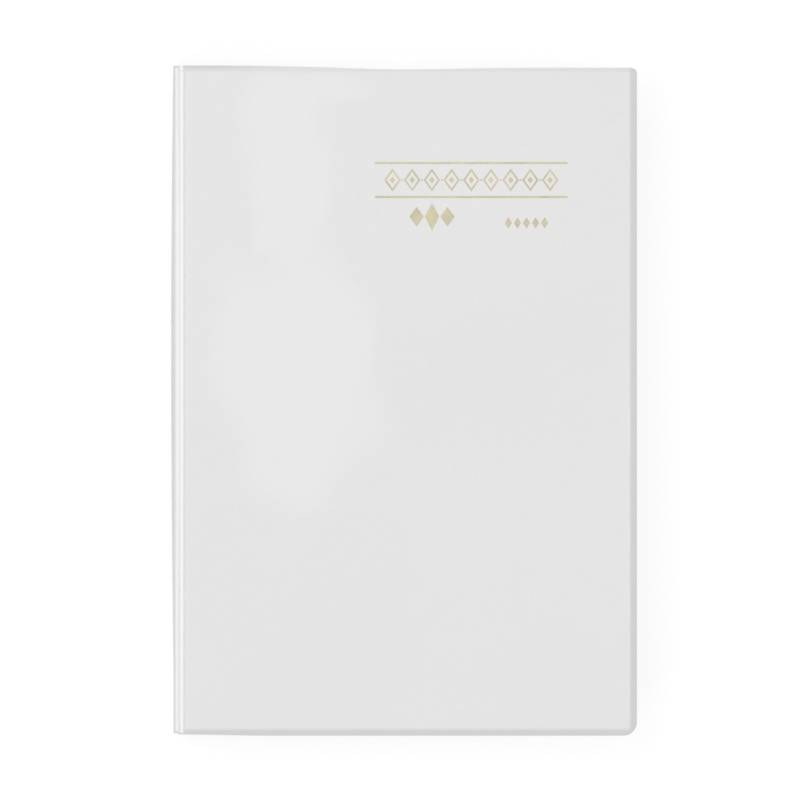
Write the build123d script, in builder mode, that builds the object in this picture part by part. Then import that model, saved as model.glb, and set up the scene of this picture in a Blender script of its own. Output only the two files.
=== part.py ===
"""Clear pocket display book: a creased cover round forty film pockets welded to a binding strip.

The shut book lies on its back cover. X runs from the spine to the fore edge, Y from the foot to the
head of the page, Z up through the pockets. The origin is the middle of the footprint.
"""
import os

from build123d import *

# Cover sheet, millimetres
cover_length = 347.0
cover_width = 240.0
panel_thickness = 1.2
rim_thickness = 0.7
rim_fore = 3.9
rim_head = 2.2
rim_foot = 3.3
head_corner_radius = 3.0
foot_corner_radius = 7.0
panel_corner_radius = 1.2
panel_edge_radius = 0.3

# Folds beside the spine
fold_radius = 1.4
fold_clearance = 0.3
crease_ridge_width = 2.3
crease_groove_radius = 0.4
spine_end_margin = 0.8

# Film pockets
pocket_count = 40
pocket_pitch = 0.6
pocket_length = 339.0
pocket_fore_margin = 8.0
film_thickness = 0.1
film_air_gap = 0.05
entry_lip = 4.0
cover_gap = 0.4

# Binding strip
binding_head_thickness = 1.0
binding_end_margin = 1.5
weld_bead_radius = 0.12
weld_clearance = 0.2
binding_clearance = 0.2

# Heights through the shut book
pocket_thickness = 2 * film_thickness + film_air_gap
stack_height = (pocket_count - 1) * pocket_pitch + pocket_thickness
book_thickness = 2 * panel_thickness + 2 * cover_gap + stack_height
mid_height = book_thickness / 2
back_fold_z = fold_radius
front_fold_z = book_thickness - fold_radius
front_inner_z = book_thickness - panel_thickness

# Places across the shut book, from the spine to the fore edge
spine_outer_x = -cover_width / 2
spine_inner_x = spine_outer_x + panel_thickness
fold_x = spine_outer_x + fold_radius
cover_hinge_x = fold_x + fold_radius + fold_clearance
crease_x = cover_hinge_x + crease_ridge_width + crease_groove_radius
fore_edge_x = cover_width / 2
binding_head_x = cover_hinge_x + binding_clearance
weld_x = binding_head_x + binding_head_thickness
pocket_root_x = weld_x + weld_bead_radius + weld_clearance
pocket_fore_x = fore_edge_x - pocket_fore_margin

os.makedirs("parts", exist_ok=True)

# Front cover: a sheet with a pressed rim on three sides and a scored crease beside the hinge
cover_reach = fore_edge_x - cover_hinge_x
with BuildPart() as front_cover:
    with BuildSketch(Plane.XY.offset(front_inner_z)):
        with Locations((cover_hinge_x, 0)):
            Rectangle(cover_reach, cover_length, align=(Align.MIN, Align.CENTER))
        fillet(vertices().group_by(Axis.Y)[0].sort_by(Axis.X)[-1], foot_corner_radius)
        fillet(vertices().group_by(Axis.Y)[-1].sort_by(Axis.X)[-1], head_corner_radius)
    extrude(amount=rim_thickness)
    with BuildSketch(Plane.XY.offset(front_inner_z + rim_thickness)):
        with Locations((cover_hinge_x, rim_foot - cover_length / 2)):
            Rectangle(cover_reach - rim_fore, cover_length - rim_head - rim_foot, align=Align.MIN)
        fillet(vertices().group_by(Axis.X)[-1], panel_corner_radius)
    extrude(amount=panel_thickness - rim_thickness)
    outer_face = front_cover.faces().sort_by(Axis.Z)[-1]
    fillet(outer_face.edges(), min(panel_edge_radius, 0.8 * (panel_thickness - rim_thickness)))
    with Locations((crease_x, 0, book_thickness)):
        Cylinder(crease_groove_radius, 2 * cover_length, rotation=(90, 0, 0), mode=Mode.SUBTRACT)
front_cover.part.label = "front_cover"
export_step(front_cover.part, "parts/front_cover.step")

# Back cover: the front cover turned over, lying on its outer face
with BuildPart() as back_cover:
    mirror(front_cover.part, about=Plane.XY.offset(mid_height))
back_cover.part.label = "back_cover"
export_step(back_cover.part, "parts/back_cover.step")

# Spine: a flat web between two round folds, whose centres are the hinge lines of the covers
with BuildPart() as spine:
    with BuildSketch(Plane.XZ):
        with Locations((fold_x, back_fold_z), (fold_x, front_fold_z)):
            Circle(fold_radius)
        with Locations((spine_outer_x, mid_height)):
            Rectangle(panel_thickness, front_fold_z - back_fold_z, align=(Align.MIN, Align.CENTER))
    extrude(amount=cover_length / 2 - spine_end_margin, both=True)
spine.part.label = "spine"
export_step(spine.part, "parts/spine.step")

# Binding strip: a stem against the spine, and a head with one weld bead for each pocket
stem_height = book_thickness - 4 * fold_radius - 2 * binding_clearance
head_height = book_thickness - 2 * panel_thickness - 2 * binding_clearance
with BuildPart() as binding_strip:
    with BuildSketch(Plane.XZ):
        with Locations((spine_inner_x, mid_height)):
            Rectangle(weld_x - spine_inner_x, stem_height, align=(Align.MIN, Align.CENTER))
        with Locations((binding_head_x, mid_height)):
            Rectangle(binding_head_thickness, head_height, align=(Align.MIN, Align.CENTER))
        with Locations((weld_x, mid_height)):
            with GridLocations(pocket_pitch, pocket_pitch, 1, pocket_count):
                Circle(weld_bead_radius)
    extrude(amount=pocket_length / 2 - binding_end_margin, both=True)
binding_strip.part.label = "binding_strip"
export_step(binding_strip.part, "parts/binding_strip.step")


def film_pocket(label, height):
    """A pocket open at the head: a back film, and a front film lower by the entry lip."""
    width = pocket_fore_x - pocket_root_x
    foot_y = -pocket_length / 2
    back_bottom = height - pocket_thickness / 2
    front_bottom = height + pocket_thickness / 2 - film_thickness
    with BuildPart() as pocket:
        with BuildSketch(Plane.XY.offset(back_bottom)):
            with Locations((pocket_root_x, foot_y)):
                Rectangle(width, pocket_length, align=Align.MIN)
        extrude(amount=film_thickness)
        with BuildSketch(Plane.XY.offset(front_bottom)):
            with Locations((pocket_root_x, foot_y)):
                Rectangle(width, pocket_length - entry_lip, align=Align.MIN)
        extrude(amount=film_thickness)
    pocket.part.label = label
    return pocket.part


# Pockets, counted from the front cover down to the back cover
top_pocket_z = mid_height + (pocket_count - 1) * pocket_pitch / 2
for index in range(pocket_count):
    pocket_name = f"pocket_{index + 1:02d}"
    pocket_part = film_pocket(pocket_name, top_pocket_z - index * pocket_pitch)
    export_step(pocket_part, f"parts/{pocket_name}.step")
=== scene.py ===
"""Looks of the clear pocket display book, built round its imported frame.

Sizes are in millimetres until a mesh is made. The studio's sizes are in metres.
"""
import math
import random

import bpy
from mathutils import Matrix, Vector


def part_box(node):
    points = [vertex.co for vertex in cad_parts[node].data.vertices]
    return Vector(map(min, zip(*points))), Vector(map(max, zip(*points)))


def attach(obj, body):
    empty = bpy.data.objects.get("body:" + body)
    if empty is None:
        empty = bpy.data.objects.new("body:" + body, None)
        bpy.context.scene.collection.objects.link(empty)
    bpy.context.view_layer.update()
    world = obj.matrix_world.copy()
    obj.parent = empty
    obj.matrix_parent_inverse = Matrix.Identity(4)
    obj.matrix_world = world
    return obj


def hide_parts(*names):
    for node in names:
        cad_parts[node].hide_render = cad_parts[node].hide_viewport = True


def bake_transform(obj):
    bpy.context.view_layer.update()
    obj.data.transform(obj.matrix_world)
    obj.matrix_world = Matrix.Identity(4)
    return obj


MM = 0.001
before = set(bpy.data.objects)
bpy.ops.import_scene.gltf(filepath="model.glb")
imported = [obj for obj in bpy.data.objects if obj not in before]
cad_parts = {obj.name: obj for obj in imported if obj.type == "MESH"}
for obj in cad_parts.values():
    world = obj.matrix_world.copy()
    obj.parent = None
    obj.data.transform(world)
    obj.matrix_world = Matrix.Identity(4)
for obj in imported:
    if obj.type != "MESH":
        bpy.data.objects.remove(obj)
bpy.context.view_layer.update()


def node_box(node):
    """Lowest and highest corner of a CAD node, in millimetres."""
    low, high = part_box(node)
    return Vector(low) / MM, Vector(high) / MM


COVER_LOW, COVER_HIGH = node_box("front_cover")
SPINE_LOW, SPINE_HIGH = node_box("spine")
BINDING_HIGH = node_box("binding_strip")[1]
BOOK_THICKNESS = COVER_HIGH.z
POCKETS = sorted(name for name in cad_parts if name.startswith("pocket_"))

# Cover sheet
RIM_RECESS = 0.5
RIM_STEP = 0.7
PANEL_FORE_X = COVER_HIGH.x - 3.9
PANEL_HEAD_Y = COVER_HIGH.y - 2.7
PANEL_FOOT_Y = COVER_LOW.y + 3.3
PANEL_CORNER = 1.2
HEAD_CORNER = 4.2
FOOT_CORNER = 7.0
HEAD_DIP = 0.9
HEAD_DIP_X = -1.0
HEAD_DIP_REACH = 38.0
HEAD_LOSS = 1.1
HEAD_SLOPE_X = (-106.0, 8.0)
FOOT_LOSS = 0.6
FOOT_SLOPE_END_X = -70.0
HEAD_RIM_FADE = 0.55
HEAD_FADE_X = (-105.0, -60.0)
INNER_RISE = 0.08
COVER_WAVE = 0.06
COVER_WAVE_X = (-100.0, -20.0)

# Pale patches of painted soft reflection, on the part of the sheet that lies on the pockets: middle and
# half size
PAINTED_SHEEN_PATCHES = (((-58.5, 15.0), (43.0, 70.0)), ((-61.0, 126.0), (25.0, 42.0)),
                ((-62.0, 84.0), (17.0, 17.0)), ((-45.0, 160.0), (25.0, 9.0)))

# Folds beside the spine
FOLD_RADIUS = 1.4
FOLD_X = SPINE_LOW.x + FOLD_RADIUS
WEB_THICKNESS = 1.2
FOLD_GAP = 0.03
LIP_X = FOLD_X + 1.0
LIP_DEPTH = 0.22
LIP_END_DEPTH = 0.13
LIP_MIDDLE_Y = 26.0
LIP_END_REACH = (60.0, 140.0)
RIDGE_CREST_X = COVER_LOW.x + 1.15
GROOVE_X = COVER_LOW.x + 2.7
PLATEAU_X = COVER_LOW.x + 3.4
GROOVE_DEPTH = 0.42
SPINE_BULGE = 1.57
SPINE_BULGE_Y = 22.0
SPINE_BULGE_REACH = 179.0
SPINE_SHADE = 0.6
END_SHADE = 0.8
# Painted highlight along the spine's round fold
FOLD_HIGHLIGHT_X = FOLD_X + 0.65
FOLD_HIGHLIGHT_WIDTH = 0.5
# Painted highlights on the crease crest and the lip
CREST_HIGHLIGHT = 0.85
CREST_HIGHLIGHT_WIDTH = 0.6
LIP_HIGHLIGHT = 0.8
LIP_HIGHLIGHT_WIDTH = 0.4
PRESSED_START = 0.3
PRESSED_END = 1.7

# Film pockets
FILM_THICKNESS = 0.1
ENTRY_LIP = 4.0
MOUTH_DEPTH = 30.0
MOUTH_LIFT = 0.12
POCKET_WAVE = 0.09
POCKET_SWELL = 0.05
POCKET_WAVE_X = (-100.0, -60.0)
BEND_LENGTH = 16.0
WELD_BEAD_RADIUS = 0.12
WELD_X = BINDING_HIGH.x - WELD_BEAD_RADIUS
ROOT_GAP = 0.02
BORDER_WIDTH = 1.0
BORDER_OVERHANG = 0.1
BEAD_WIDTH = 0.4
BEAD_OVERHANG = 0.05
BEAD_RISE = 0.07
WELD_PROUD = 0.06
WELD_SUNK = 0.02
SEAM_WIDTH = 0.8
SEAM_PROUD = 0.03
FORE_SEAM_INSET = 2.6
FOOT_SEAM_INSET = 2.0
ROOT_SEAM = (9.0, 10.0)

# Clear film hardly shades what is behind it, so not every pocket casts a shadow
SHADOW_EVERY = 5
CLEAR_LAYERS = 16

# Gold foil
FOIL_THICKNESS = 0.04
FOIL_SUNK = 0.01


def smooth(start, end, value):
    """0 before start, 1 after end, and an even curve between them."""
    t = min(max((value - start) / (end - start), 0.0), 1.0)
    return t * t * (3 - 2 * t)


def lines(start, end, step):
    """Evenly spaced grid lines, no further apart than step, without the last one."""
    count = max(1, math.ceil((end - start) / step))
    return [start + (end - start) * i / count for i in range(count)]


def grid(stretches, end):
    """Grid lines over stretches that each give their start and widest step."""
    stops = [start for start, step in stretches[1:]] + [end]
    places = []
    for (start, step), stop in zip(stretches, stops):
        places += lines(start, stop, step)
    return places + [end]


class Shape:
    """Collects closed solids for one mesh, with a number per vertex for each tint."""

    def __init__(self):
        self.verts = []
        self.faces = []
        self.slots = []
        self.tints = {}

    def add(self, verts, faces, slot=0):
        first = len(self.verts)
        self.verts += verts
        self.faces += [[first + i for i in face] for face in faces]
        self.slots += [slot] * len(faces)

    def slab(self, xs, ys, bottom, top, place=None, slot=0):
        """A closed sheet over a grid, between two heights that are functions of the place in plan."""
        columns, rows = len(xs), len(ys)
        plan = [place(x, y) if place else (x, y) for y in ys for x in xs]
        verts = [(x, y, height(x, y)) for height in (bottom, top) for x, y in plan]

        def at(layer, row, column):
            return (layer * rows + row) * columns + column

        faces = []
        for row in range(rows - 1):
            for column in range(columns - 1):
                ring = [(row, column), (row, column + 1), (row + 1, column + 1), (row + 1, column)]
                faces.append([at(1, *corner) for corner in ring])
                faces.append([at(0, *corner) for corner in reversed(ring)])
        border = [(0, column) for column in range(columns - 1)]
        border += [(row, columns - 1) for row in range(rows - 1)]
        border += [(rows - 1, column) for column in range(columns - 1, 0, -1)]
        border += [(row, 0) for row in range(rows - 1, 0, -1)]
        for one, two in zip(border, border[1:] + border[:1]):
            faces.append([at(0, *one), at(0, *two), at(1, *two), at(1, *one)])
        self.add(verts, faces, slot)

    def loft(self, rings):
        """A closed body through rings of as many points, anticlockwise seen from the next ring."""
        count, last = len(rings[0]), len(rings) - 1
        faces = [list(reversed(range(count))), [last * count + i for i in range(count)]]
        for row in range(last):
            here, there = row * count, (row + 1) * count
            for i in range(count):
                j = (i + 1) % count
                faces.append([here + i, here + j, there + j, there + i])
        self.add([vert for ring in rings for vert in ring], faces)

    def prism(self, ring, bottom, top):
        """A closed plate over a ring of points that runs anticlockwise."""
        count = len(ring)
        verts = [(x, y, height(x, y)) for height in (bottom, top) for x, y in ring]
        faces = [list(reversed(range(count))), [count + i for i in range(count)]]
        for i in range(count):
            j = (i + 1) % count
            faces.append([i, j, count + j, count + i])
        self.add(verts, faces)

    def band(self, outer, inner, bottom, top):
        """A closed plate between two rings of as many points, both anticlockwise."""
        count = len(outer)
        verts = [(x, y, height(x, y)) for height in (bottom, top) for x, y in outer + inner]
        faces = []
        for i in range(count):
            j = (i + 1) % count
            low_out, low_in = (i, j), (count + i, count + j)
            high_out, high_in = (2 * count + i, 2 * count + j), (3 * count + i, 3 * count + j)
            faces.append([high_out[0], high_out[1], high_in[1], high_in[0]])
            faces.append([low_out[1], low_out[0], low_in[0], low_in[1]])
            faces.append([low_out[0], low_out[1], high_out[1], high_out[0]])
            faces.append([low_in[1], low_in[0], high_in[0], high_in[1]])
        self.add(verts, faces)

    def tint(self, name, amount):
        """Keeps a number for each vertex, from its place, for the material to read."""
        self.tints[name] = [amount(*vert) for vert in self.verts]

    def turn_over(self):
        """Mirrors the shape through the middle of the book's thickness."""
        self.verts = [(x, y, BOOK_THICKNESS - z) for x, y, z in self.verts]
        self.faces = [list(reversed(face)) for face in self.faces]

    def build(self, name, materials, sharp_angle=40):
        """The object made of what was collected, in metres."""
        mesh = bpy.data.meshes.new(name)
        mesh.from_pydata([[c * MM for c in vert] for vert in self.verts], [], self.faces)
        for material in materials:
            mesh.materials.append(material)
        mesh.polygons.foreach_set("material_index", self.slots)
        for tint, amounts in self.tints.items():
            mesh.attributes.new(tint, "FLOAT", "POINT").data.foreach_set("value", amounts)
        mesh.shade_smooth()
        mesh.set_sharp_from_angle(angle=math.radians(sharp_angle))
        mesh.update()
        thing = bpy.data.objects.new(name, mesh)
        bpy.context.collection.objects.link(thing)
        return thing


class Material:
    """A Principled material whose patterns are laid out in the book's own frame."""

    def __init__(self, name, colour, roughness, **sockets):
        self.data = bpy.data.materials.new(name)
        self.data.use_nodes = True
        self.nodes = self.data.node_tree.nodes
        self.bsdf = self.nodes["Principled BSDF"]
        self.coords = self.nodes.new("ShaderNodeTexCoord")
        self.bsdf.inputs["Base Color"].default_value = (*colour, 1)
        self.bsdf.inputs["Roughness"].default_value = roughness
        for socket, value in sockets.items():
            self.bsdf.inputs[socket].default_value = value
        self.colour = None
        self.normal = None

    def link(self, source, target):
        self.data.node_tree.links.new(source, target)

    def noise(self, scale, detail=2.0, stretch=(1, 1, 1)):
        """A noise pattern with this many cells to a metre."""
        mapping = self.nodes.new("ShaderNodeMapping")
        mapping.inputs["Scale"].default_value = stretch
        self.link(self.coords.outputs["Object"], mapping.inputs["Vector"])
        node = self.nodes.new("ShaderNodeTexNoise")
        node.inputs["Scale"].default_value = scale
        node.inputs["Detail"].default_value = detail
        self.link(mapping.outputs["Vector"], node.inputs["Vector"])
        return node.outputs["Fac"]

    def reach(self, value, low, high, source=(0.3, 0.7)):
        """A pattern brought to a range of values."""
        node = self.nodes.new("ShaderNodeMapRange")
        node.inputs["From Min"].default_value = source[0]
        node.inputs["From Max"].default_value = source[1]
        node.inputs["To Min"].default_value = low
        node.inputs["To Max"].default_value = high
        self.link(value, node.inputs["Value"])
        return node.outputs["Result"]

    def shade(self, amount, colour):
        """Mixes a colour over those before it, by a pattern."""
        mix = self.nodes.new("ShaderNodeMix")
        mix.data_type = "RGBA"
        before, after = mix.inputs[6], mix.inputs[7]
        if self.colour is None:
            before.default_value = self.bsdf.inputs["Base Color"].default_value
        else:
            self.link(self.colour, before)
        after.default_value = (*colour, 1)
        self.link(amount, mix.inputs["Factor"])
        self.colour = mix.outputs[2]
        self.link(self.colour, self.bsdf.inputs["Base Color"])

    def tint(self, name, colour, most=1.0):
        """Mixes a colour over those before it, by a number kept with each vertex."""
        node = self.nodes.new("ShaderNodeAttribute")
        node.attribute_name = name
        self.shade(self.reach(node.outputs["Fac"], 0.0, most, (0.0, 1.0)), colour)

    def vary(self, socket, value, low, high):
        """Drives a socket by a pattern."""
        self.link(self.reach(value, low, high), self.bsdf.inputs[socket])

    def bump(self, value, height, strength=1.0):
        """Raises the surface by a pattern, height in metres."""
        node = self.nodes.new("ShaderNodeBump")
        node.inputs["Distance"].default_value = height
        node.inputs["Strength"].default_value = strength
        self.link(value, node.inputs["Height"])
        if self.normal is not None:
            self.link(self.normal, node.inputs["Normal"])
        self.normal = node.outputs["Normal"]
        self.link(self.normal, self.bsdf.inputs["Normal"])


def satin_sheet():
    """Milky satin plastic: faint clouds, pale patches of painted reflection, painted shade on the
    pressed rim and the spine's side, and painted highlights along the folds.
    """
    sheet = Material("satin_sheet", (0.764, 0.764, 0.761), 0.4, IOR=1.5)
    sheet.shade(sheet.reach(sheet.noise(7.0, 1.0), 0.0, 1.0), (0.772, 0.772, 0.77))
    sheet.shade(sheet.reach(sheet.noise(11.0, 3.0), 0.0, 0.3, (0.5, 0.6)), (0.785, 0.785, 0.783))
    sheet.shade(sheet.reach(sheet.noise(420.0, 3.0), 0.0, 0.35), (0.735, 0.735, 0.732))
    # Painted soft reflection in pale patches
    sheet.tint("pale", (0.803, 0.803, 0.801), 0.8)
    # Painted shade on the pressed rim, the spine's outer side and the fold ends
    sheet.tint("rim", (0.615, 0.615, 0.613))
    # Painted highlights along the spine's fold, the crease ridge and the lip
    sheet.tint("fold", (0.97, 0.97, 0.97))
    sheet.vary("Roughness", sheet.noise(60.0, 3.0), 0.36, 0.46)
    sheet.bump(sheet.noise(260.0, 2.0), 0.00002, 0.5)
    sheet.bump(sheet.noise(2600.0, 2.0), 0.00001, 0.5)
    return sheet.data


def clear_film():
    """Glossy film that lets what is behind it show."""
    # The grey base is partly the film's own tone and partly painted shade, for the shadows that most
    # pockets don't cast
    film = Material("clear_film", (0.74, 0.75, 0.76), 0.12, IOR=1.5, Alpha=0.15)
    haze = film.noise(28.0, 0.0)
    film.shade(film.reach(haze, 0.0, 1.0), (0.81, 0.82, 0.83))
    film.vary("Roughness", haze, 0.08, 0.2)
    return film.data


def welded_film():
    """Film that was pressed together hot, whiter than the rest and clouded."""
    weld = Material("welded_film", (0.9, 0.91, 0.92), 0.3, IOR=1.5, Alpha=0.85)
    weld.shade(weld.reach(weld.noise(900.0, 2.0), 0.0, 1.0), (0.97, 0.97, 0.98))
    weld.vary("Roughness", weld.noise(500.0, 2.0), 0.22, 0.4)
    return weld.data


def milky_binding():
    """The welded strip inside the spine."""
    strip = Material("milky_binding", (0.74, 0.75, 0.755), 0.42, IOR=1.5)
    strip.shade(strip.reach(strip.noise(180.0, 3.0), 0.0, 1.0), (0.83, 0.835, 0.84))
    strip.vary("Roughness", strip.noise(120.0, 3.0), 0.34, 0.5)
    strip.bump(strip.noise(800.0, 2.0, (1, 0.1, 1)), 0.00003, 0.5)
    return strip.data


def gold_foil():
    """Hot-stamped foil: metal with thin spots where the sheet shows."""
    foil = Material("gold_foil", (0.42, 0.4, 0.285), 0.34, Metallic=1.0)
    foil.shade(foil.reach(foil.noise(120.0, 3.0), 0.0, 1.0), (0.535, 0.47, 0.325))
    foil.shade(foil.reach(foil.noise(1600.0, 2.0), 0.0, 0.6, (0.5, 0.75)), (0.6, 0.575, 0.48))
    foil.vary("Roughness", foil.noise(900.0, 2.0), 0.28, 0.45)
    foil.bump(foil.noise(2200.0, 2.0), 0.00001, 0.5)
    return foil.data


def head_trim(x):
    """How far the head edge was cut short: most near the middle, and a little up to the fore edge."""
    dip = HEAD_DIP * math.exp(-((x - HEAD_DIP_X) / HEAD_DIP_REACH) ** 2)
    return dip + HEAD_LOSS * smooth(*HEAD_SLOPE_X, x)


def foot_trim(x):
    """How far the foot edge curves up towards the spine."""
    return FOOT_LOSS * (1 - smooth(COVER_LOW.x, FOOT_SLOPE_END_X, x))


def round_corner(x, y, side, radius):
    """Moves a point of the square in a fore-edge corner into the quarter circle that rounds it."""
    across = (x - COVER_HIGH.x + radius) / radius
    along = (side * y - COVER_HIGH.y + radius) / radius
    if across <= 0 or along <= 0:
        return x, y
    shell = max(across, along)
    angle = math.pi / 4 * (along / across if across >= along else 2 - across / along)
    x = COVER_HIGH.x - radius + radius * shell * math.cos(angle)
    y = COVER_HIGH.y - radius + radius * shell * math.sin(angle)
    return x, side * y


def cover_place(x, y):
    """Where a point of the cover's square grid lies: corners rounded, head and foot trimmed."""
    x, y = round_corner(x, y, 1, HEAD_CORNER)
    x, y = round_corner(x, y, -1, FOOT_CORNER)
    head_zone = COVER_HIGH.y - PANEL_HEAD_Y
    foot_zone = PANEL_FOOT_Y - COVER_LOW.y
    if y > PANEL_HEAD_Y:
        y = PANEL_HEAD_Y + (y - PANEL_HEAD_Y) * (1 - head_trim(x) / head_zone)
    if y < PANEL_FOOT_Y:
        y = PANEL_FOOT_Y - (PANEL_FOOT_Y - y) * (1 - foot_trim(x) / foot_zone)
    return x, y


def panel_distance(x, y):
    """How far a point lies outside the raised panel, below zero on it."""
    across = x - PANEL_FORE_X + PANEL_CORNER
    along = max(y - PANEL_HEAD_Y, PANEL_FOOT_Y - y) + PANEL_CORNER
    outside = math.hypot(max(across, 0), max(along, 0))
    return outside + min(max(across, along), 0) - PANEL_CORNER


def towards_ends(y):
    """0 halfway along the spine and 1 near its ends."""
    return smooth(*LIP_END_REACH, abs(y - LIP_MIDDLE_Y))


def crease_depth(x, y):
    """How far the crease lies below the panel: a lip that is shallower halfway, a ridge and a groove."""
    if x <= RIDGE_CREST_X:
        lip_depth = LIP_DEPTH + LIP_END_DEPTH * towards_ends(y)
        share = min((RIDGE_CREST_X - x) / (RIDGE_CREST_X - LIP_X), 1.0)
        return lip_depth * (1 - math.sqrt(1 - share * share))
    if x <= GROOVE_X:
        share = (x - RIDGE_CREST_X) / (GROOVE_X - RIDGE_CREST_X)
        return GROOVE_DEPTH * (1 - math.sqrt(1 - share * share))
    return GROOVE_DEPTH * (1 - smooth(GROOVE_X, PLATEAU_X, x))


def cover_wave(x, y):
    """The sheet's faint waviness, none at the hinge, from two waves of uneven lengths."""
    wave = math.sin(x / 47.0 + 0.6) * math.cos(y / 61.0) + 0.6 * math.sin(y / 83.0 - x / 90.0)
    return -COVER_WAVE * (1 + 0.6 * wave) * smooth(*COVER_WAVE_X, x)


def cover_top(x, y):
    """Height of the front cover's outer face."""
    rim = RIM_RECESS * smooth(-RIM_STEP, RIM_STEP, panel_distance(x, y))
    return BOOK_THICKNESS - max(rim, crease_depth(x, y)) + cover_wave(x, y)


def cover_bottom(x, y):
    """Height of the front cover's inner face, which hugs the round fold at the hinge."""
    reach = (FOLD_RADIUS + FOLD_GAP) ** 2 - (x - FOLD_X) ** 2
    fold_top = BOOK_THICKNESS - FOLD_RADIUS + math.sqrt(max(reach, 0.0))
    return max(COVER_LOW.z + INNER_RISE + cover_wave(x, y), fold_top)


def cover_lines():
    """Grid lines of a cover: close at the crease and the rim, wide on the panel."""
    crease = [(LIP_X, 0.06), (FOLD_X + FOLD_RADIUS + 0.1, 0.14)]
    panel = [(PLATEAU_X, 2.0), (PLATEAU_X + 8, 8.0)]
    fore_rim = [(PANEL_FORE_X - 4, 0.75), (PANEL_FORE_X - 1, 0.3)]
    xs = grid(crease + panel + fore_rim, COVER_HIGH.x)
    foot_rim = [(COVER_LOW.y, 0.3), (PANEL_FOOT_Y + 1, 0.8)]
    head_rim = [(PANEL_HEAD_Y - 3, 0.7), (PANEL_HEAD_Y - 1, 0.25)]
    ys = grid(foot_rim + [(PANEL_FOOT_Y + 5, 8.0)] + head_rim, COVER_HIGH.y)
    return xs, ys


def end_amount(y, foot_y, head_y):
    """1 at the foot and head ends of a fold, where it is pressed flat, 0 between them."""
    return 1 - smooth(PRESSED_START, PRESSED_END, min(y - foot_y, head_y - y))


def rim_painted_shade(x, y, z):
    """Painted shade: 1 on the pressed rim, softer and fainter along the head, 0 on the panel."""
    head_share = smooth(PANEL_HEAD_Y - 0.5, PANEL_HEAD_Y + 0.5, y)
    head_share *= smooth(PANEL_FORE_X + 1, PANEL_FORE_X - 1, x)
    fade = 1 - HEAD_RIM_FADE * head_share * smooth(*HEAD_FADE_X, x)
    pressed = smooth(-0.4, 1.3 + 0.6 * head_share, panel_distance(x, y))
    ridge_foot = end_amount(y, COVER_LOW.y + foot_trim(x), math.inf)
    return fade * pressed * max(smooth(COVER_LOW.x, PLATEAU_X, x), END_SHADE * ridge_foot)


def crease_painted_highlight(x, y, z):
    """Painted highlight on the crest of the crease ridge, and on the lip halfway along."""
    crest = CREST_HIGHLIGHT * math.exp(-((x - RIDGE_CREST_X) / CREST_HIGHLIGHT_WIDTH) ** 2)
    lip = LIP_HIGHLIGHT * math.exp(-((x - LIP_X) / LIP_HIGHLIGHT_WIDTH) ** 2) * (1 - towards_ends(y))
    return max(crest, lip) * (1 - end_amount(y, COVER_LOW.y + foot_trim(x), math.inf))


def painted_sheen_amount(x, y, z):
    """1 in the middle of the pale patches of painted reflection, 0 outside them, with soft and uneven
    edges.
    """
    uneven = 0.12 * math.sin(x / 9.0 + y / 23.0) + 0.1 * math.sin(y / 11.0 - x / 31.0)
    reach = math.inf
    for (middle_x, middle_y), (half_x, half_y) in PAINTED_SHEEN_PATCHES:
        reach = min(reach, math.hypot((x - middle_x) / half_x, (y - middle_y) / half_y))
    return smooth(1.2, 0.75, reach + uneven)


def make_cover(name, turned_over):
    """A cover sheet with a pressed rim, a crease and a lip that closes the gap at the fold."""
    shape = Shape()
    xs, ys = cover_lines()
    shape.slab(xs, ys, cover_bottom, cover_top, cover_place)
    # Painted shade on the pressed rim
    shape.tint("rim", rim_painted_shade)
    # Painted highlights along the crease ridge and the lip
    shape.tint("fold", crease_painted_highlight)
    # Painted soft reflection in pale patches
    shape.tint("pale", painted_sheen_amount)
    if turned_over:
        shape.turn_over()
    return shape.build(name, [SATIN], 30)


def spine_outline():
    """The spine's section, front fold first and the outside next, as (x, z, share of the bulge)."""
    back_z, front_z = FOLD_RADIUS, BOOK_THICKNESS - FOLD_RADIUS
    web = front_z - back_z
    fold_sweep, fold_steps, web_steps = 262, 20, 14
    ring = []

    def add_fold(z, start):
        for i in range(fold_steps + 1):
            angle = math.radians(start + fold_sweep * i / fold_steps)
            ring.append((FOLD_X + FOLD_RADIUS * math.cos(angle), z + FOLD_RADIUS * math.sin(angle), 0.0))

    def add_web(x, z, rise):
        for i in range(1, web_steps):
            ring.append((x, z + rise * i / web_steps, math.sin(math.pi * i / web_steps)))

    add_fold(front_z, 180 - fold_sweep)
    add_web(SPINE_LOW.x, front_z, -web)
    add_fold(back_z, 180)
    add_web(SPINE_LOW.x + WEB_THICKNESS, back_z, web)
    return ring


def make_spine():
    """The spine: a web that bows out between two round folds."""
    shape = Shape()
    ring = spine_outline()
    foot_y, head_y = SPINE_LOW.y + 0.4, SPINE_HIGH.y + 0.6
    end_steps = (0.0, 0.3, 0.8, 1.2)
    ys = [foot_y + step for step in end_steps] + lines(foot_y + PRESSED_END, head_y - PRESSED_END, 8.0)
    ys += [head_y - step for step in reversed((*end_steps, PRESSED_END))]
    rings = []
    for y in reversed(ys):
        bow = SPINE_BULGE * max(0.0, 1 - ((y - SPINE_BULGE_Y) / SPINE_BULGE_REACH) ** 2)
        rings.append([(x - bow * share, y, z) for x, z, share in ring])
    shape.loft(rings)

    def shaded(x, y, z):
        side = SPINE_SHADE * smooth(FOLD_X - 0.1, SPINE_LOW.x, x)
        return max(side, END_SHADE * end_amount(y, foot_y, head_y))

    # Painted highlight along the top of the round fold, none at the pressed ends
    def fold_painted_highlight(x, y, z):
        fold = math.exp(-((x - FOLD_HIGHLIGHT_X) / FOLD_HIGHLIGHT_WIDTH) ** 2)
        return fold * (1 - end_amount(y, foot_y, head_y))

    shape.tint("rim", shaded)
    shape.tint("fold", fold_painted_highlight)
    return shape.build("spine_sheet", [SATIN])


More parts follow.
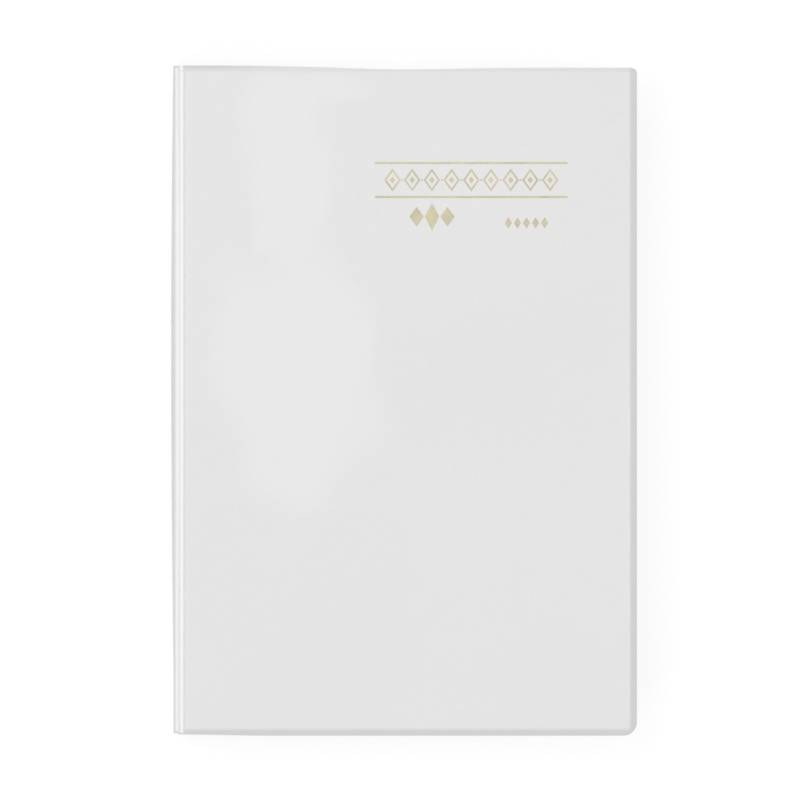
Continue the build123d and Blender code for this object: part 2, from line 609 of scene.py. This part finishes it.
def make_pocket(node, order):
    """A film pocket: a back film, a lower front film that parts from it at the head, and their welds."""
    chance = random.Random(order)
    low, high = node_box(node)
    root_x = WELD_X + ROOT_GAP
    fore_x = high.x + chance.uniform(-0.5, 0.3)
    head_y = high.y + chance.uniform(-0.4, 0.2)
    foot_y = low.y + chance.uniform(-0.2, 0.3)
    mouth_y = head_y - ENTRY_LIP
    swell = chance.uniform(-POCKET_SWELL, POCKET_SWELL)
    phase = chance.uniform(0.0, 2.0)

    def wave(x, y):
        shared = POCKET_WAVE * math.sin(x / 34.0) * math.cos(y / 52.0 + 0.4)
        own = swell * math.sin(x / 21.0 + phase) * math.sin(y / 40.0 + phase)
        return (shared + own) * smooth(*POCKET_WAVE_X, x)

    def lift(y):
        return MOUTH_LIFT * smooth(mouth_y - MOUTH_DEPTH, mouth_y, y)

    def front_face(x, y):
        return high.z + lift(y) + wave(x, y)

    def back_face(x, y):
        return low.z + wave(x, y)

    def raised(face, height):
        return lambda x, y: face(x, y) + height

    long_ys = lines(foot_y, mouth_y - MOUTH_DEPTH, 18.0)
    mouth_ys = lines(mouth_y - MOUTH_DEPTH, mouth_y, 6.0) + [mouth_y]
    section = [(y, back_face, 0.0) for y in long_ys + mouth_ys + [head_y]]
    section += [(y, back_face, FILM_THICKNESS) for y in [head_y] + mouth_ys[:0:-1]]
    section += [(mouth_ys[0], back_face, (high.z - low.z) / 2)]
    section += [(y, front_face, -FILM_THICKNESS) for y in mouth_ys[1:]]
    section += [(y, front_face, 0.0) for y in reversed(long_ys + mouth_ys)]
    xs = grid([(root_x, 1.3), (root_x + BEND_LENGTH, 12.0)], fore_x)
    shape = Shape()
    shape.loft([[(x, y, face(x, y) + height) for y, face, height in section] for x in xs])

    weld_ys = long_ys + mouth_ys
    border = raised(back_face, -WELD_PROUD), raised(front_face, WELD_PROUD)
    shape.slab([fore_x - BORDER_WIDTH, fore_x + BORDER_OVERHANG], weld_ys, *border, slot=1)
    shape.slab(xs, [foot_y - BORDER_OVERHANG, foot_y + BORDER_WIDTH], *border, slot=1)

    back_bead = raised(back_face, -WELD_PROUD), raised(back_face, FILM_THICKNESS + BEAD_RISE)
    shape.slab(xs, [head_y - BEAD_WIDTH, head_y + BEAD_OVERHANG], *back_bead, slot=1)
    front_bead = raised(front_face, -FILM_THICKNESS - WELD_SUNK), raised(front_face, WELD_PROUD)
    shape.slab(xs, [mouth_y - BEAD_WIDTH, mouth_y + BEAD_OVERHANG], *front_bead, slot=1)

    seam = raised(front_face, -WELD_SUNK), raised(front_face, SEAM_PROUD)
    fore_seam_x = fore_x - FORE_SEAM_INSET
    root_seam_xs = [root_x + reach for reach in ROOT_SEAM]
    foot_seam_y = foot_y + FOOT_SEAM_INSET
    shape.slab([fore_seam_x, fore_seam_x + SEAM_WIDTH], weld_ys, *seam, slot=1)
    shape.slab(root_seam_xs, weld_ys, *seam, slot=1)
    foot_seam_xs = [x for x in xs if root_seam_xs[1] < x < fore_seam_x]
    shape.slab(foot_seam_xs, [foot_seam_y, foot_seam_y + SEAM_WIDTH], *seam, slot=1)
    return shape.build(f"{node}_film", [FILM, WELD])


def make_foil():
    """Gold foil on the front cover: two rules, and plain lozenges and dots."""
    shape = Shape()

    def under(x, y):
        return cover_top(x, y) - FOIL_SUNK

    def over(x, y):
        return cover_top(x, y) + FOIL_THICKNESS

    def lozenge(x, y, width, height):
        return [(x + width / 2, y), (x, y + height / 2), (x - width / 2, y), (x, y - height / 2)]

    def disc(x, y, radius, count=20):
        turns = [2 * math.pi * i / count for i in range(count)]
        return [(x + radius * math.cos(turn), y + radius * math.sin(turn)) for turn in turns]

    left_x, right_x = -15.6, 84.0
    upper_y, lower_y = 123.0, 105.4
    rule_width = 1.1
    for y in (upper_y, lower_y):
        shape.slab(grid([(left_x, 8.0)], right_x), [y - rule_width / 2, y + rule_width / 2], under, over)

    row_y = (upper_y + lower_y) / 2
    row_count, row_step, dot_radius = 9, 10.2, 0.5
    outer_size, inner_size, centre_size = (8.6, 12.0), (6.2, 8.7), (2.8, 3.6)
    for i in range(row_count):
        x = (left_x + right_x) / 2 + (i - (row_count - 1) / 2) * row_step
        shape.band(lozenge(x, row_y, *outer_size), lozenge(x, row_y, *inner_size), under, over)
        shape.prism(lozenge(x, row_y, *centre_size), under, over)
        if i < row_count - 1:
            shape.prism(disc(x + row_step / 2, row_y, dot_radius), under, over)

    large_x, large_y, large_step, large_width = 5.9, 95.2, 8.0, 7.4
    for i, height in enumerate((10.2, 14.6, 10.2)):
        shape.prism(lozenge(large_x + large_step * i, large_y, large_width, height), under, over)
    small_x, small_y, small_step, small_size = 53.4, 92.0, 4.7, (3.6, 6.0)
    for i in range(5):
        shape.prism(lozenge(small_x + small_step * i, small_y, *small_size), under, over)
    return shape.build("cover_foil", [GOLD])


def add_area_light(name, place, size, power, target=(0, 0, 0)):
    """A soft rectangular lamp that faces the target and isn't seen itself."""
    lamp = bpy.data.lights.new(name, "AREA")
    lamp.shape = "RECTANGLE"
    lamp.size, lamp.size_y = size
    lamp.energy = power
    thing = bpy.data.objects.new(name, lamp)
    thing.location = place
    thing.rotation_euler = (Vector(target) - Vector(place)).to_track_quat("-Z", "Y").to_euler()
    thing.visible_camera = False
    bpy.context.collection.objects.link(thing)


def seen_directly(nodes, links):
    """1 for rays from the camera, or by way of a mirror or glass, else 0."""
    path = nodes.new("ShaderNodeLightPath")
    total = path.outputs["Is Camera Ray"]
    for name in ("Is Glossy Ray", "Is Transmission Ray"):
        add = nodes.new("ShaderNodeMath")
        add.operation = "ADD"
        add.use_clamp = True
        links.new(total, add.inputs[0])
        links.new(path.outputs[name], add.inputs[1])
        total = add.outputs[0]
    return total


def make_world():
    """Even white light from all round, and plain white where it is seen directly."""
    world = bpy.data.worlds.new("studio")
    bpy.context.scene.world = world
    world.use_nodes = True
    nodes, links = world.node_tree.nodes, world.node_tree.links
    lit = nodes["Background"]
    lit.inputs["Color"].default_value = (1, 1, 1, 1)
    lit.inputs["Strength"].default_value = 0.5
    seen = nodes.new("ShaderNodeBackground")
    seen.inputs["Color"].default_value = (1, 1, 1, 1)
    seen.inputs["Strength"].default_value = 1.0
    mix = nodes.new("ShaderNodeMixShader")
    links.new(seen_directly(nodes, links), mix.inputs["Fac"])
    links.new(lit.outputs["Background"], mix.inputs[1])
    links.new(seen.outputs["Background"], mix.inputs[2])
    links.new(mix.outputs["Shader"], nodes["World Output"].inputs["Surface"])


def make_floor():
    """A wide pale floor that looks white and keeps the soft shadow."""
    half = 6.0
    corners = [(-half, -half, 0), (half, -half, 0), (half, half, 0), (-half, half, 0)]
    mesh = bpy.data.meshes.new("studio_floor")
    mesh.from_pydata(corners, [], [(0, 1, 2, 3)])
    floor = bpy.data.objects.new("studio_floor", mesh)
    floor.location.z = -0.0001
    bpy.context.collection.objects.link(floor)
    material = bpy.data.materials.new("floor_paper")
    material.use_nodes = True
    nodes, links = material.node_tree.nodes, material.node_tree.links
    nodes.remove(nodes["Principled BSDF"])
    paper = nodes.new("ShaderNodeBsdfDiffuse")
    paper.inputs["Color"].default_value = (0.8, 0.8, 0.8, 1)
    shadowed = nodes.new("ShaderNodeBsdfDiffuse")
    shadowed.inputs["Color"].default_value = (0.23, 0.23, 0.23, 1)
    glow = nodes.new("ShaderNodeEmission")
    glow.inputs["Strength"].default_value = 0.8
    white = nodes.new("ShaderNodeAddShader")
    links.new(shadowed.outputs["BSDF"], white.inputs[0])
    links.new(glow.outputs["Emission"], white.inputs[1])
    mix = nodes.new("ShaderNodeMixShader")
    links.new(seen_directly(nodes, links), mix.inputs["Fac"])
    links.new(paper.outputs["BSDF"], mix.inputs[1])
    links.new(white.outputs["Shader"], mix.inputs[2])
    links.new(mix.outputs["Shader"], nodes["Material Output"].inputs["Surface"])
    mesh.materials.append(material)


def make_camera():
    """A long lens straight above the book, as in the photo."""
    photo_width, photo_centre, distance = 0.4142, (-0.0027, 0.0003), 4.0
    lens = bpy.data.cameras.new("camera")
    lens.sensor_width = 36.0
    lens.lens = lens.sensor_width * distance / photo_width
    lens.clip_end = 100.0
    camera = bpy.data.objects.new("camera", lens)
    camera.location = (*photo_centre, BOOK_THICKNESS * MM + distance)
    bpy.context.collection.objects.link(camera)
    bpy.context.scene.camera = camera


SATIN = satin_sheet()
FILM = clear_film()
WELD = welded_film()
MILKY = milky_binding()
GOLD = gold_foil()

front = make_cover("front_cover_sheet", False)
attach(front, "front_cover")
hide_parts("front_cover")

back = make_cover("back_cover_sheet", True)
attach(back, "back_cover")
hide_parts("back_cover")

spine = make_spine()
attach(spine, "spine")
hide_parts("spine")

foil = make_foil()
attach(foil, "front_cover")

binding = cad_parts["binding_strip"]
for material_slot in binding.material_slots:
    material_slot.material = MILKY

for number, pocket_node in enumerate(POCKETS):
    pocket = make_pocket(pocket_node, number)
    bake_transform(pocket)
    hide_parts(pocket_node)
    pocket.visible_shadow = number % SHADOW_EVERY == 0

make_world()
make_floor()
make_camera()
add_area_light("softbox_above", place=(-1.25, 0.95, 2.2), size=(2.2, 2.2), power=25.3)
add_area_light("strip_right", place=(1.7, -0.1, 1.5), size=(0.5, 2.4), power=15)
add_area_light("fill_left", place=(-1.5, -1.5, 1.4), size=(1.2, 2.0), power=12)
bpy.context.scene.view_settings.view_transform = "Standard"
bpy.context.scene.cycles.transparent_max_bounces = CLEAR_LAYERS
